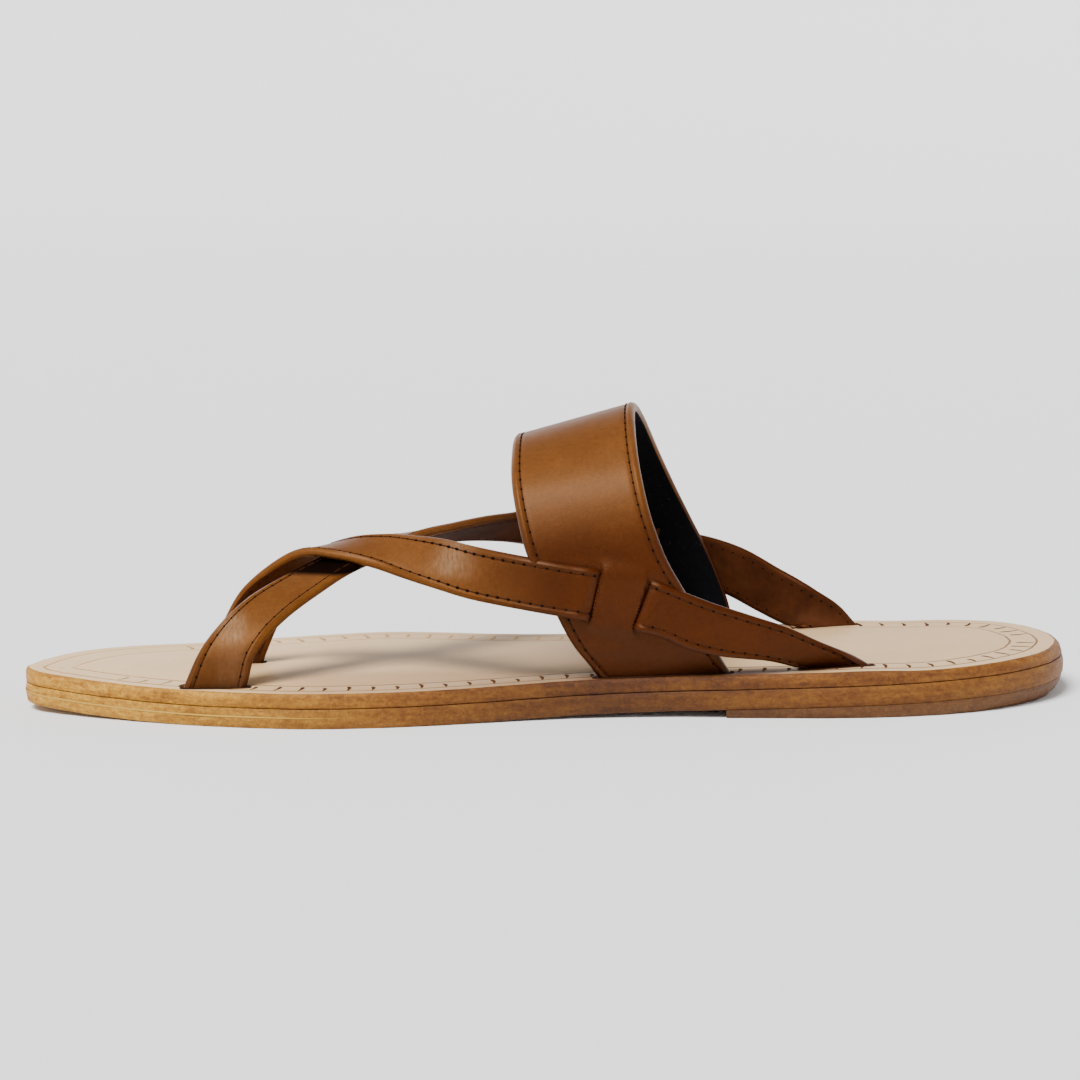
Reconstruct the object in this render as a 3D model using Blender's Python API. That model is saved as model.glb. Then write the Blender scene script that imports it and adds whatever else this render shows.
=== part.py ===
"""Kolhapuri sandal for the right foot: a stacked leather sole, a wide instep band and two crossed straps.

The toe points to -X, the heel to +X, the big toe's side is -Y and +Z is up. The origin is on the floor
under the middle of the sole. All lengths below are in metres, written as millimetres times MM.
"""
import math
from collections import namedtuple

import bmesh
import bpy
from mathutils import Vector

MM = 0.001

# Overall sizes of the shoe
LENGTH = 274.5 * MM
BALL_WIDTH = 97 * MM
ARCH_HEIGHT = 62.6 * MM        # from the insole up to the middle of the band's wall, at its highest

# Leather of the upper
BAND_WIDTH = 34 * MM
BAND_THICK = 2.6 * MM
STRAP_WIDTH = 13.5 * MM
STRAP_THICK = 2.4 * MM
JOIN_DEPTH = 0.2 * MM          # how far one wall sinks into the other where they are joined

# Layers of the sole and the gap left between them
INSOLE_THICK = 3.6 * MM
MIDSOLE_THICK = 1.9 * MM
OUTSOLE_THICK = 2.9 * MM
LAYER_GAP = 0.3 * MM
SLOT_CLEARANCE = 0.3 * MM
SLOT_OVERRUN = 1 * MM          # how far the cutters of the slots reach past the insole's underside
HEEL_TRIM = 0.8 * MM           # the insole is this much thinner under the heel

# How the underside leaves the floor
TOE_SPRING = 2 * MM
WAIST_RAISE = 0.8 * MM
HEEL_RAISE = 4.8 * MM

# Places along the sole, as shares of its length from the tip of the toe
SPRING_START = 0.202
FLAT_END = 0.348
WAIST = 0.512
LIFT_BREAST = 0.665
HEEL_ROUND_START = 0.8
TRIM_START = 0.803
TRIM_END = 0.847

# How finely the curved forms are cut into flat faces
SOLE_SECTION_COUNT = 44
LIFT_SECTION_COUNT = 14
STEPS_PER_STATION = 3
SHARP_ANGLE = math.radians(35)
TURN_STEP = 0.002              # the small turn, in radians, over which an edge's direction is taken

# The sole's two edges: shares of the length, then of the ball's width, a row for each section
Edge = namedtuple("Edge", "along medial lateral")
OUTLINE = [
    Edge(0.000, -0.130, -0.130),
    Edge(0.004, -0.174, -0.078),
    Edge(0.014, -0.213, 0.010),
    Edge(0.038, -0.260, 0.142),
    Edge(0.082, -0.327, 0.256),
    Edge(0.136, -0.396, 0.322),
    Edge(0.206, -0.461, 0.394),
    Edge(0.275, -0.500, 0.460),
    Edge(0.338, -0.494, 0.499),
    Edge(0.385, -0.475, 0.482),
    Edge(0.444, -0.438, 0.432),
    Edge(0.513, -0.398, 0.382),
    Edge(0.592, -0.387, 0.364),
    Edge(0.690, -0.410, 0.388),
    Edge(0.781, -0.424, 0.416),
    Edge(0.856, -0.405, 0.427),
    Edge(0.916, -0.346, 0.409),
    Edge(0.952, -0.273, 0.360),
    Edge(0.980, -0.180, 0.266),
    Edge(0.993, -0.093, 0.170),
    Edge(1.000, 0.031, 0.031),
]

# The side of each layer, from its underside up: how far it is set in, how much further at the back of the
# heel, and the share of the layer's thickness
Step = namedtuple("Step", "inset heel up")
INSOLE_SIDE = [
    Step(0.30 * MM, 0.3 * MM, 0.00),
    Step(0.00, 0.5 * MM, 0.12),
    Step(0.05 * MM, 0.8 * MM, 0.50),
    Step(0.20 * MM, 1.2 * MM, 0.80),
    Step(0.70 * MM, 1.5 * MM, 1.00),
]
MIDSOLE_SIDE = [
    Step(0.35 * MM, 0.0, 0.00),
    Step(0.10 * MM, 0.1 * MM, 0.20),
    Step(0.10 * MM, 0.3 * MM, 0.80),
    Step(0.35 * MM, 0.3 * MM, 1.00),
]
OUTSOLE_SIDE = [
    Step(0.60 * MM, 0.0, 0.00),
    Step(0.25 * MM, 0.0, 0.25),
    Step(0.00, 0.0, 0.75),
    Step(0.35 * MM, 0.0, 1.00),
]
LIFT_SIDE = [
    Step(0.60 * MM, 3.0 * MM, 0.00),
    Step(0.30 * MM, 2.0 * MM, 0.20),
    Step(0.30 * MM, 1.1 * MM, 0.45),
    Step(0.30 * MM, 0.4 * MM, 0.75),
    Step(0.30 * MM, 0.1 * MM, 1.00),
]

# The band and the straps are walls swept along their stations. A station holds the wall's middle line, in
# shares of LENGTH from the middle of the shoe, of half the ball's width and of ARCH_HEIGHT above the insole,
# then the direction across the wall in shares of the wall's width, and out, the side of the band or of the
# other strap that the wall lies on: 1 is outside, -1 inside and 0 in line with it.
Station = namedtuple("Station", "along across up wide_x wide_y wide_z out")
BAND = [
    Station(0.108, -0.695, 0.000, -1.02, 0.00, 0.00, 0),
    Station(0.085, -0.765, 0.153, -1.06, 0.00, 0.00, 0),
    Station(0.066, -0.795, 0.331, -1.05, 0.00, 0.00, 0),
    Station(0.044, -0.772, 0.524, -1.03, 0.02, 0.00, 0),
    Station(0.036, -0.728, 0.634, -0.99, 0.03, -0.08, 0),
    Station(0.028, -0.600, 0.798, -0.97, 0.04, -0.13, 0),
    Station(0.026, -0.290, 0.958, -0.94, 0.00, -0.22, 0),
    Station(0.029, 0.000, 0.994, -0.94, -0.04, -0.25, 0),
    Station(0.037, 0.290, 0.937, -0.95, -0.04, -0.22, 0),
    Station(0.056, 0.625, 0.745, -0.97, -0.02, -0.13, 0),
    Station(0.069, 0.733, 0.618, -0.99, 0.00, -0.08, 0),
    Station(0.082, 0.778, 0.498, -1.03, 0.00, 0.00, 0),
    Station(0.100, 0.795, 0.326, -1.05, 0.00, 0.00, 0),
    Station(0.114, 0.765, 0.157, -1.06, 0.00, 0.00, 0),
    Station(0.127, 0.695, 0.000, -1.02, 0.00, 0.00, 0),
]
TOE_STRAP = [
    Station(-0.301, 0.000, 0.000, 1.00, 0.00, 0.00, 0),
    Station(-0.287, 0.000, 0.156, 1.00, 0.02, -0.15, 0),
    Station(-0.270, 0.012, 0.274, 0.87, 0.36, -0.36, 0),
    Station(-0.252, 0.016, 0.380, 0.60, 0.74, -0.28, 0),
    Station(-0.225, -0.040, 0.475, 0.45, 0.88, -0.10, 0),
    Station(-0.193, -0.125, 0.500, 0.38, 0.88, 0.22, 0),
    Station(-0.160, -0.212, 0.498, 0.33, 0.80, 0.48, 0),
    Station(-0.129, -0.330, 0.481, 0.27, 0.62, 0.73, 0),
    Station(-0.100, -0.464, 0.465, 0.25, 0.38, 0.89, 0),
    Station(-0.071, -0.598, 0.442, 0.20, 0.20, 0.97, 0),
    Station(-0.040, -0.712, 0.422, 0.16, 0.12, 0.99, 0.1),
    Station(-0.007, -0.768, 0.397, 0.15, 0.10, 0.99, 0.7),
    Station(0.018, -0.782, 0.374, 0.17, 0.12, 0.98, 1),
    Station(0.037, -0.785, 0.357, 0.20, 0.16, 0.96, 1),
    Station(0.058, -0.785, 0.338, 0.22, 0.22, 0.94, -1),
    Station(0.078, -0.785, 0.317, 0.24, 0.20, 0.95, -1),
    Station(0.104, -0.785, 0.281, 0.32, 0.06, 0.90, 1),
    Station(0.141, -0.780, 0.210, 0.42, 0.08, 0.88, 1.1),
    Station(0.174, -0.775, 0.160, 0.58, 0.14, 0.76, 0.8),
    Station(0.204, -0.760, 0.122, 0.77, 0.18, 0.57, 0.5),
    Station(0.228, -0.740, 0.083, 0.96, 0.24, 0.34, 0.2),
    Station(0.251, -0.707, 0.042, 1.16, 0.25, 0.18, 0),
    Station(0.270, -0.661, 0.000, 1.32, 0.24, 0.00, 0),
]
SIDE_STRAP = [
    Station(-0.311, -0.752, 0.000, -1.20, -0.06, 0.00, 0),
    Station(-0.299, -0.710, 0.137, -1.03, 0.10, 0.13, 0),
    Station(-0.284, -0.635, 0.223, -0.94, 0.30, 0.18, 0),
    Station(-0.267, -0.540, 0.291, -0.90, 0.38, 0.20, 0),
    Station(-0.234, -0.370, 0.377, -0.87, 0.46, 0.12, 0),
    Station(-0.207, -0.235, 0.434, -0.83, 0.55, 0.05, 0),
    Station(-0.175, -0.090, 0.486, -0.76, 0.63, 0.03, -0.3),
    Station(-0.139, 0.085, 0.512, -0.66, 0.70, -0.15, 0),
    Station(-0.102, 0.280, 0.516, -0.58, 0.70, -0.38, 0),
    Station(-0.068, 0.445, 0.515, -0.50, 0.68, -0.50, 0),
    Station(-0.038, 0.600, 0.502, -0.38, 0.64, -0.62, 0),
    Station(0.001, 0.745, 0.467, -0.20, 0.36, -0.90, 0.6),
    Station(0.035, 0.780, 0.431, -0.20, 0.12, -0.97, 1),
    Station(0.061, 0.782, 0.403, -0.24, 0.08, -0.97, 1),
    Station(0.080, 0.782, 0.382, -0.26, 0.06, -0.96, -1),
    Station(0.101, 0.782, 0.357, -0.28, 0.06, -0.96, -1),
    Station(0.121, 0.782, 0.334, -0.32, 0.08, -0.96, 1),
    Station(0.158, 0.785, 0.289, -0.36, 0.10, -0.96, 1),
    Station(0.188, 0.785, 0.238, -0.38, 0.14, -0.96, 0.8),
    Station(0.221, 0.775, 0.156, -0.42, 0.20, -0.92, 0.4),
    Station(0.253, 0.730, 0.082, -0.62, 0.22, -0.75, 0),
    Station(0.272, 0.680, 0.036, -0.95, -0.05, -0.38, 0),
    Station(0.281, 0.650, 0.000, -1.18, -0.26, 0.00, 0),
]


def between(knots, rows, place):
    """The row at a place among the knots, on a smooth curve through all rows."""
    last = len(knots) - 1
    index = min(max(sum(1 for knot in knots[1:-1] if knot <= place), 0), last - 1)

    def slope(i):
        if i == 0 or i == last:
            a, b = (0, 1) if i == 0 else (last - 1, last)
            return (rows[b] - rows[a]) / (knots[b] - knots[a])
        before = (rows[i] - rows[i - 1]) / (knots[i] - knots[i - 1])
        after = (rows[i + 1] - rows[i]) / (knots[i + 1] - knots[i])
        weight = (knots[i] - knots[i - 1]) / (knots[i + 1] - knots[i - 1])
        return before * (1 - weight) + after * weight

    span = knots[index + 1] - knots[index]
    t = (place - knots[index]) / span
    start = rows[index] * (1 + 2 * t) * (1 - t) ** 2 + slope(index) * span * t * (1 - t) ** 2
    end = rows[index + 1] * t ** 2 * (3 - 2 * t) + slope(index + 1) * span * t ** 2 * (t - 1)
    return start + end


def ease(x, start, end):
    """0 before start, 1 after end and smooth between."""
    t = min(max((x - start) / (end - start), 0), 1)
    return t * t * (3 - 2 * t)


# Heights of the layers along the shoe
def share_of(x):
    return x / LENGTH + 0.5


def underside(x):
    """Height of the outsole's underside: flat under the ball, raised at the toe, the waist and the heel."""
    s = share_of(x)
    if s < SPRING_START:
        return TOE_SPRING * ((SPRING_START - s) / SPRING_START) ** 2
    if s < FLAT_END:
        return 0.0
    if s < WAIST:
        return WAIST_RAISE * ((s - FLAT_END) / (WAIST - FLAT_END)) ** 2
    return WAIST_RAISE + (HEEL_RAISE - WAIST_RAISE) * (s - WAIST) / (1 - WAIST)


def outsole_top(x):
    return underside(x) + OUTSOLE_THICK


def midsole_bottom(x):
    return outsole_top(x) + LAYER_GAP


def midsole_top(x):
    return midsole_bottom(x) + MIDSOLE_THICK


def insole_bottom(x):
    return midsole_top(x) + LAYER_GAP


def insole_top(x):
    return insole_bottom(x) + INSOLE_THICK - HEEL_TRIM * ease(share_of(x), TRIM_START, TRIM_END)


def lift_top(x):
    return underside(x) - LAYER_GAP


# Outline of the sole
def turn_at(share):
    """The angle whose cosine sweeps the length, so that sections crowd together at both round ends."""
    return math.acos(1 - 2 * share)


EDGE_KNOTS = [turn_at(row.along) for row in OUTLINE]
EDGE_ROWS = [Vector((row.medial, row.lateral)) * BALL_WIDTH for row in OUTLINE]


def edge_point(turn, side, inset):
    """A point of one edge, set in along the outline's own normal; side is 0 medial, 1 lateral."""
    def plain(angle):
        angle = min(max(angle, 0), math.pi)
        return Vector((-math.cos(angle) * LENGTH / 2, between(EDGE_KNOTS, EDGE_ROWS, angle)[side]))

    travel = (plain(turn + TURN_STEP) - plain(turn - TURN_STEP)).normalized()
    inward = Vector((-travel.y, travel.x)) * (1 if side == 0 else -1)
    if turn < TURN_STEP or turn > math.pi - TURN_STEP:
        inward = Vector((math.copysign(1, math.pi / 2 - turn), 0))
    return plain(turn) + inward * inset


def new_object(name, verts, faces, material):
    mesh = bpy.data.meshes.new(name)
    mesh.from_pydata(verts, [], faces)
    shape = bmesh.new()
    shape.from_mesh(mesh)
    bmesh.ops.recalc_face_normals(shape, faces=shape.faces)
    shape.to_mesh(mesh)
    shape.free()
    mesh.shade_smooth()
    mesh.set_sharp_from_angle(angle=SHARP_ANGLE)
    if material:
        mesh.materials.append(material)
    piece = bpy.data.objects.new(name, mesh)
    bpy.context.scene.collection.objects.link(piece)
    return piece


def leather(name, colour, roughness):
    material = bpy.data.materials.new(name)
    material.use_nodes = True
    shader = material.node_tree.nodes["Principled BSDF"]
    shader.inputs["Base Color"].default_value = (*colour, 1)
    shader.inputs["Roughness"].default_value = roughness
    shader.inputs["Metallic"].default_value = 0
    return material


def layer(name, side_steps, bottom, top, material, first_share=0.0, sections=SOLE_SECTION_COUNT):
    """One layer of the sole: rings of the outline stacked up its side, closed by strips across it."""
    start = turn_at(first_share)
    turns = [start + (math.pi - start) * i / sections for i in range(sections + 1)]
    round_front = first_share == 0.0
    verts = []
    for step in side_steps:
        for side, order in ((0, turns), (1, turns[-2:0 if round_front else None:-1])):
            for turn in order:
                back = ease((1 - math.cos(turn)) / 2, HEEL_ROUND_START, 1)
                point = edge_point(turn, side, step.inset + step.heel * back)
                low, high = bottom(point.x), top(point.x)
                verts.append((point.x, point.y, low + (high - low) * step.up))
    ring = len(verts) // len(side_steps)
    faces = []
    for level in range(len(side_steps) - 1):
        for i in range(ring):
            a, b = level * ring + i, level * ring + (i + 1) % ring
            faces.append((a, b, b + ring, a + ring))
    opposite = 0 if round_front else 1
    for base in (0, ring * (len(side_steps) - 1)):
        for i in range(sections):
            corners = [i, i + 1, (ring - i - 1 - opposite) % ring, (ring - i - opposite) % ring]
            unique = list(dict.fromkeys(base + corner for corner in corners))
            faces.append(tuple(unique))
    return new_object(name, verts, faces, material)


# Walls of the upper
def wall_line(stations, width, out_step):
    """Middle line, direction across and distance out for each station, ends run down through the insole."""
    rows = []
    for station in stations:
        x = station.along * LENGTH
        middle = (x, station.across * BALL_WIDTH / 2, insole_top(x) + station.up * ARCH_HEIGHT)
        rows.append(Vector((*middle, station.wide_x, station.wide_y, station.wide_z, station.out * out_step)))
    for end, inner in ((0, 1), (-1, -2)):
        tail = rows[end].copy()
        reach = tail[3] * width / 2
        tail.z = insole_bottom(tail.x)
        tail[5] = (insole_bottom(tail.x + reach) - insole_bottom(tail.x - reach)) / width
        rows.insert(0 if end == 0 else len(rows), tail)
    return rows


def wall(name, stations, width, thick, out_step, material, grow=0.0, deeper=0.0):
    """A leather wall with rounded edges swept along its stations; grow makes the cutter of its slots."""
    rows = wall_line(stations, width, out_step)
    rows[0].z -= deeper
    rows[-1].z -= deeper
    knots = [0.0]
    for a, b in zip(rows, rows[1:]):
        knots.append(knots[-1] + (b.xyz - a.xyz).length)
    count = (len(rows) - 1) * STEPS_PER_STATION
    places = []
    for i in range(len(rows) - 1):
        places += [knots[i] + (knots[i + 1] - knots[i]) * k / STEPS_PER_STATION for k in range(STEPS_PER_STATION)]
    places.append(knots[-1])
    samples = [between(knots, rows, place) for place in places]
    half, radius = width / 2 + grow, thick / 2 + grow
    flat = half - radius
    bend = math.sqrt(0.5) * radius
    profile = [(-flat, radius), (flat, radius), (flat + bend, bend), (half, 0), (flat + bend, -bend),
               (flat, -radius), (-flat, -radius), (-flat - bend, -bend), (-half, 0), (-flat - bend, bend)]
    verts = []
    for i, sample in enumerate(samples):
        ahead, behind = samples[min(i + 1, count)], samples[max(i - 1, 0)]
        travel = (ahead.xyz - behind.xyz).normalized()
        if i in (0, count):
            travel = Vector((0, 0, 1 if i == 0 else -1))
        across = Vector(sample[3:6])
        normal = travel.cross(across).normalized()
        middle = sample.xyz + normal * sample[6]
        for wide, deep in profile:
            verts.append(middle + across * wide + normal * deep)
    ring = len(profile)
    faces = [tuple(range(ring)), tuple(reversed(range(count * ring, (count + 1) * ring)))]
    for i in range(count):
        for k in range(ring):
            a, b = i * ring + k, i * ring + (k + 1) % ring
            faces.append((a, b, b + ring, a + ring))
    return new_object(name, verts, faces, material)


def boolean(piece, tool, operation):
    tool.hide_render = True
    tool.display_type = "WIRE"
    tool.hide_set(True)
    cut = piece.modifiers.new(operation.title() + " " + tool.name, "BOOLEAN")
    cut.operation = operation
    cut.solver = "EXACT"
    cut.object = tool


def main():
    for old in list(bpy.data.objects):
        bpy.data.objects.remove(old, do_unlink=True)

    natural = leather("natural_insole_leather", (0.62, 0.47, 0.33), 0.6)
    ochre = leather("ochre_sole_leather", (0.42, 0.24, 0.09), 0.55)
    edge = leather("burnished_sole_leather", (0.36, 0.20, 0.08), 0.5)
    stacked = leather("stacked_heel_leather", (0.25, 0.14, 0.07), 0.6)
    tan = leather("tan_strap_leather", (0.24, 0.10, 0.03), 0.38)

    layer("outsole", OUTSOLE_SIDE, underside, outsole_top, edge)
    layer("midsole", MIDSOLE_SIDE, midsole_bottom, midsole_top, ochre)
    insole = layer("insole", INSOLE_SIDE, insole_bottom, insole_top, natural)
    layer("heel_lift", LIFT_SIDE, lambda x: 0.0, lift_top, stacked, LIFT_BREAST, LIFT_SECTION_COUNT)

    band_out = (BAND_THICK + STRAP_THICK) / 2 - JOIN_DEPTH
    walls = {
        "upper": (BAND, BAND_WIDTH, BAND_THICK),
        "toe_strap": (TOE_STRAP, STRAP_WIDTH, STRAP_THICK),
        "side_strap": (SIDE_STRAP, STRAP_WIDTH, STRAP_THICK),
    }
    built = {}
    for name, (stations, width, thick) in walls.items():
        built[name] = wall(name, stations, width, thick, band_out, tan)
        slot = wall(name + "_slot", stations, width, thick, band_out, None, SLOT_CLEARANCE, SLOT_OVERRUN)
        boolean(insole, slot, "DIFFERENCE")
    boolean(built["upper"], built["toe_strap"], "UNION")
    boolean(built["upper"], built["side_strap"], "UNION")


main()
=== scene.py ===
"""Looks of the kolhapuri sandal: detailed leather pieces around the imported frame, floor, light and camera.

The toe points to -X, the heel to +X, the big toe's side is -Y and +Z is up. Lengths are in metres.
"""
import math
from collections import namedtuple

import bpy
import numpy as np
from mathutils import Matrix


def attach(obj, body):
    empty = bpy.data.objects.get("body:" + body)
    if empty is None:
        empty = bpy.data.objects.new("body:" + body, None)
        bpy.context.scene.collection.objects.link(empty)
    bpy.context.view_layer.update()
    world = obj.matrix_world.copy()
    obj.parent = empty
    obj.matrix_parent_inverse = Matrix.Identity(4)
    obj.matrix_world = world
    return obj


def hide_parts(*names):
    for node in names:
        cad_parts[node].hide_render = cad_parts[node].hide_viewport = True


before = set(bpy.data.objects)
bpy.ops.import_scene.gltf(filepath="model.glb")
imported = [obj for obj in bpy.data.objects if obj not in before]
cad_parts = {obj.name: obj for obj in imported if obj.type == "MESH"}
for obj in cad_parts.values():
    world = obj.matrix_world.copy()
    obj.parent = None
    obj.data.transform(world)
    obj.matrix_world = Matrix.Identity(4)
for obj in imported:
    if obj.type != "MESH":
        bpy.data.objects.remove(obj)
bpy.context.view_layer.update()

MM = 0.001
LENGTH = 274.5 * MM
BALL_WIDTH = 97 * MM
ARCH_HEIGHT = 62.6 * MM
BAND_WIDTH = 34 * MM
BAND_THICK = 2.6 * MM
STRAP_WIDTH = 13.5 * MM
STRAP_THICK = 2.4 * MM
JOIN_DEPTH = 0.2 * MM
LAP = (BAND_THICK + STRAP_THICK) / 2 - JOIN_DEPTH

# Sole layers
INSOLE_THICK = 3.6 * MM
MIDSOLE_THICK = 1.9 * MM
OUTSOLE_THICK = 2.9 * MM
LAYER_GAP = 0.3 * MM
HEEL_TRIM = 0.8 * MM
TOE_SPRING = 2 * MM
WAIST_RAISE = 0.8 * MM
HEEL_RAISE = 4.8 * MM
SPRING_START, FLAT_END, WAIST, LIFT_BREAST = 0.202, 0.348, 0.512, 0.665
HEEL_ROUND_START, TRIM_START, TRIM_END = 0.8, 0.785, 0.865
SECTIONS = 150

# The sole's outline: shares of the length from the toe, and of the ball's width
Edge = namedtuple("Edge", "along medial lateral")
OUTLINE = [
    Edge(0.000, -0.130, -0.130),
    Edge(0.004, -0.174, -0.078),
    Edge(0.014, -0.213, 0.010),
    Edge(0.038, -0.260, 0.142),
    Edge(0.082, -0.327, 0.256),
    Edge(0.136, -0.396, 0.322),
    Edge(0.206, -0.461, 0.394),
    Edge(0.275, -0.500, 0.460),
    Edge(0.338, -0.494, 0.499),
    Edge(0.385, -0.475, 0.482),
    Edge(0.444, -0.438, 0.432),
    Edge(0.513, -0.398, 0.382),
    Edge(0.592, -0.387, 0.364),
    Edge(0.690, -0.410, 0.388),
    Edge(0.781, -0.424, 0.416),
    Edge(0.856, -0.405, 0.427),
    Edge(0.916, -0.346, 0.409),
    Edge(0.952, -0.273, 0.360),
    Edge(0.980, -0.180, 0.266),
    Edge(0.993, -0.093, 0.170),
    Edge(1.000, 0.031, 0.031),
]

# The walls of the upper: the place as shares of the length, of half the ball's width and of the arch's height,
# the direction of the wall's width, and how many laps it stands out to pass over or under another wall
Station = namedtuple("Station", "along across up wide_x wide_y wide_z out")
BAND = [
    Station(0.108, -0.695, 0.000, -1.02, 0.00, 0.00, 0),
    Station(0.086, -0.765, 0.153, -1.05, 0.00, 0.00, 0),
    Station(0.066, -0.795, 0.331, -1.05, 0.00, 0.00, 0),
    Station(0.044, -0.772, 0.524, -1.03, 0.02, 0.00, 0),
    Station(0.036, -0.728, 0.634, -0.99, 0.03, -0.08, 0),
    Station(0.028, -0.600, 0.798, -0.97, 0.04, -0.13, 0),
    Station(0.026, -0.290, 0.958, -0.94, 0.00, -0.22, 0),
    Station(0.029, 0.000, 0.994, -0.94, -0.04, -0.25, 0),
    Station(0.037, 0.290, 0.937, -0.95, -0.04, -0.22, 0),
    Station(0.056, 0.625, 0.745, -0.97, -0.02, -0.13, 0),
    Station(0.069, 0.733, 0.618, -0.99, 0.00, -0.08, 0),
    Station(0.082, 0.778, 0.498, -1.03, 0.00, 0.00, 0),
    Station(0.100, 0.795, 0.326, -1.05, 0.00, 0.00, 0),
    Station(0.114, 0.765, 0.157, -1.06, 0.00, 0.00, 0),
    Station(0.127, 0.695, 0.000, -1.02, 0.00, 0.00, 0),
]
TOE_STRAP = [
    Station(-0.301, 0.000, 0.000, 1.00, 0.00, 0.00, 0),
    Station(-0.289, 0.000, 0.156, 1.05, 0.02, -0.15, 0),
    Station(-0.274, 0.012, 0.274, 0.90, 0.36, -0.36, 0),
    Station(-0.255, 0.016, 0.380, 0.62, 0.74, -0.28, 0),
    Station(-0.225, -0.040, 0.475, 0.45, 0.88, -0.10, 0),
    Station(-0.193, -0.125, 0.500, 0.38, 0.88, 0.22, 0),
    Station(-0.160, -0.212, 0.498, 0.33, 0.80, 0.48, 0),
    Station(-0.129, -0.330, 0.481, 0.27, 0.62, 0.73, 0),
    Station(-0.100, -0.464, 0.465, 0.25, 0.38, 0.89, 0),
    Station(-0.071, -0.598, 0.442, 0.20, 0.20, 0.97, 0),
    Station(-0.040, -0.712, 0.422, 0.16, 0.12, 0.99, 0.1),
    Station(-0.007, -0.768, 0.397, 0.15, 0.10, 0.99, 0.7),
    Station(0.018, -0.782, 0.374, 0.17, 0.12, 0.98, 0.90),
    Station(0.0400, -0.785, 0.354, 0.28, 0.15, 0.97, 0.80),
    Station(0.0435, -0.785, 0.350, 0.29, 0.16, 0.97, 0.50),
    Station(0.0470, -0.785, 0.347, 0.29, 0.17, 0.97, -0.80),
    Station(0.0520, -0.785, 0.343, 0.29, 0.18, 0.96, -1.10),
    Station(0.0640, -0.785, 0.332, 0.29, 0.18, 0.96, -1.15),
    Station(0.0785, -0.785, 0.316, 0.30, 0.16, 0.96, -1.10),
    Station(0.0835, -0.785, 0.311, 0.31, 0.15, 0.96, -0.80),
    Station(0.0870, -0.785, 0.306, 0.32, 0.14, 0.96, 0.50),
    Station(0.0905, -0.785, 0.301, 0.32, 0.13, 0.96, 0.80),
    Station(0.110, -0.785, 0.272, 0.33, 0.06, 0.90, 0.90),
    Station(0.141, -0.780, 0.210, 0.42, 0.08, 0.88, 1.1),
    Station(0.174, -0.775, 0.160, 0.58, 0.14, 0.76, 0.8),
    Station(0.204, -0.760, 0.122, 0.77, 0.18, 0.57, 0.5),
    Station(0.228, -0.740, 0.083, 0.96, 0.24, 0.34, 0.2),
    Station(0.251, -0.707, 0.042, 1.16, 0.25, 0.18, 0),
    Station(0.270, -0.661, 0.000, 1.32, 0.24, 0.00, 0),
]
SIDE_STRAP = [
    Station(-0.311, -0.752, 0.000, -1.20, -0.06, 0.00, 0),
    Station(-0.299, -0.710, 0.137, -1.03, 0.10, 0.13, 0),
    Station(-0.284, -0.635, 0.223, -0.94, 0.30, 0.18, 0),
    Station(-0.266, -0.540, 0.292, -0.90, 0.38, 0.20, 0),
    Station(-0.233, -0.370, 0.376, -0.87, 0.46, 0.12, 0),
    Station(-0.207, -0.235, 0.440, -0.83, 0.55, 0.05, -0.3),
    Station(-0.175, -0.090, 0.496, -0.76, 0.63, 0.05, -0.5),
    Station(-0.139, 0.085, 0.520, -0.66, 0.70, -0.15, 0),
    Station(-0.102, 0.280, 0.516, -0.58, 0.70, -0.38, 0),
    Station(-0.068, 0.445, 0.515, -0.50, 0.68, -0.50, 0),
    Station(-0.038, 0.600, 0.502, -0.38, 0.64, -0.62, 0),
    Station(0.001, 0.745, 0.467, -0.20, 0.36, -0.90, 0.6),
    Station(0.035, 0.780, 0.431, -0.20, 0.12, -0.97, 0.9),
    Station(0.0650, 0.782, 0.399, -0.24, 0.08, -0.97, 0.80),
    Station(0.0682, 0.782, 0.395, -0.24, 0.08, -0.97, 0.50),
    Station(0.0717, 0.782, 0.391, -0.25, 0.07, -0.96, -0.80),
    Station(0.0767, 0.782, 0.386, -0.25, 0.06, -0.96, -1.10),
    Station(0.0880, 0.782, 0.372, -0.27, 0.06, -0.96, -1.15),
    Station(0.0995, 0.782, 0.359, -0.28, 0.06, -0.96, -1.10),
    Station(0.1045, 0.782, 0.354, -0.29, 0.07, -0.96, -0.80),
    Station(0.1085, 0.782, 0.349, -0.30, 0.08, -0.96, 0.50),
    Station(0.1120, 0.782, 0.345, -0.30, 0.08, -0.96, 0.80),
    Station(0.133, 0.782, 0.320, -0.33, 0.10, -0.96, 0.9),
    Station(0.158, 0.785, 0.289, -0.36, 0.10, -0.96, 1),
    Station(0.188, 0.785, 0.238, -0.38, 0.14, -0.96, 0.8),
    Station(0.221, 0.775, 0.156, -0.42, 0.20, -0.92, 0.4),
    Station(0.253, 0.730, 0.082, -0.62, 0.22, -0.75, 0),
    Station(0.272, 0.680, 0.036, -0.95, -0.05, -0.38, 0),
    Station(0.281, 0.650, 0.000, -1.18, -0.26, 0.00, 0),
]


# Curves through the rows of a table
def through(knots, rows, places):
    """Values at many places on the smooth curve through the rows."""
    knots, rows, places = np.asarray(knots, float), np.asarray(rows, float), np.asarray(places, float)
    step = np.diff(knots)[:, None]
    rise = np.diff(rows, axis=0) / step
    slope = np.empty_like(rows)
    slope[0], slope[-1] = rise[0], rise[-1]
    weight = step[:-1] / (step[:-1] + step[1:])
    slope[1:-1] = rise[:-1] * (1 - weight) + rise[1:] * weight
    i = np.clip(np.searchsorted(knots, places, "right") - 1, 0, len(knots) - 2)
    span = step[i]
    t = ((places - knots[i]) / step[i, 0])[:, None]
    return (rows[i] * (1 + 2 * t) * (1 - t) ** 2 + slope[i] * span * t * (1 - t) ** 2
            + rows[i + 1] * t ** 2 * (3 - 2 * t) + slope[i + 1] * span * t ** 2 * (t - 1))


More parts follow.
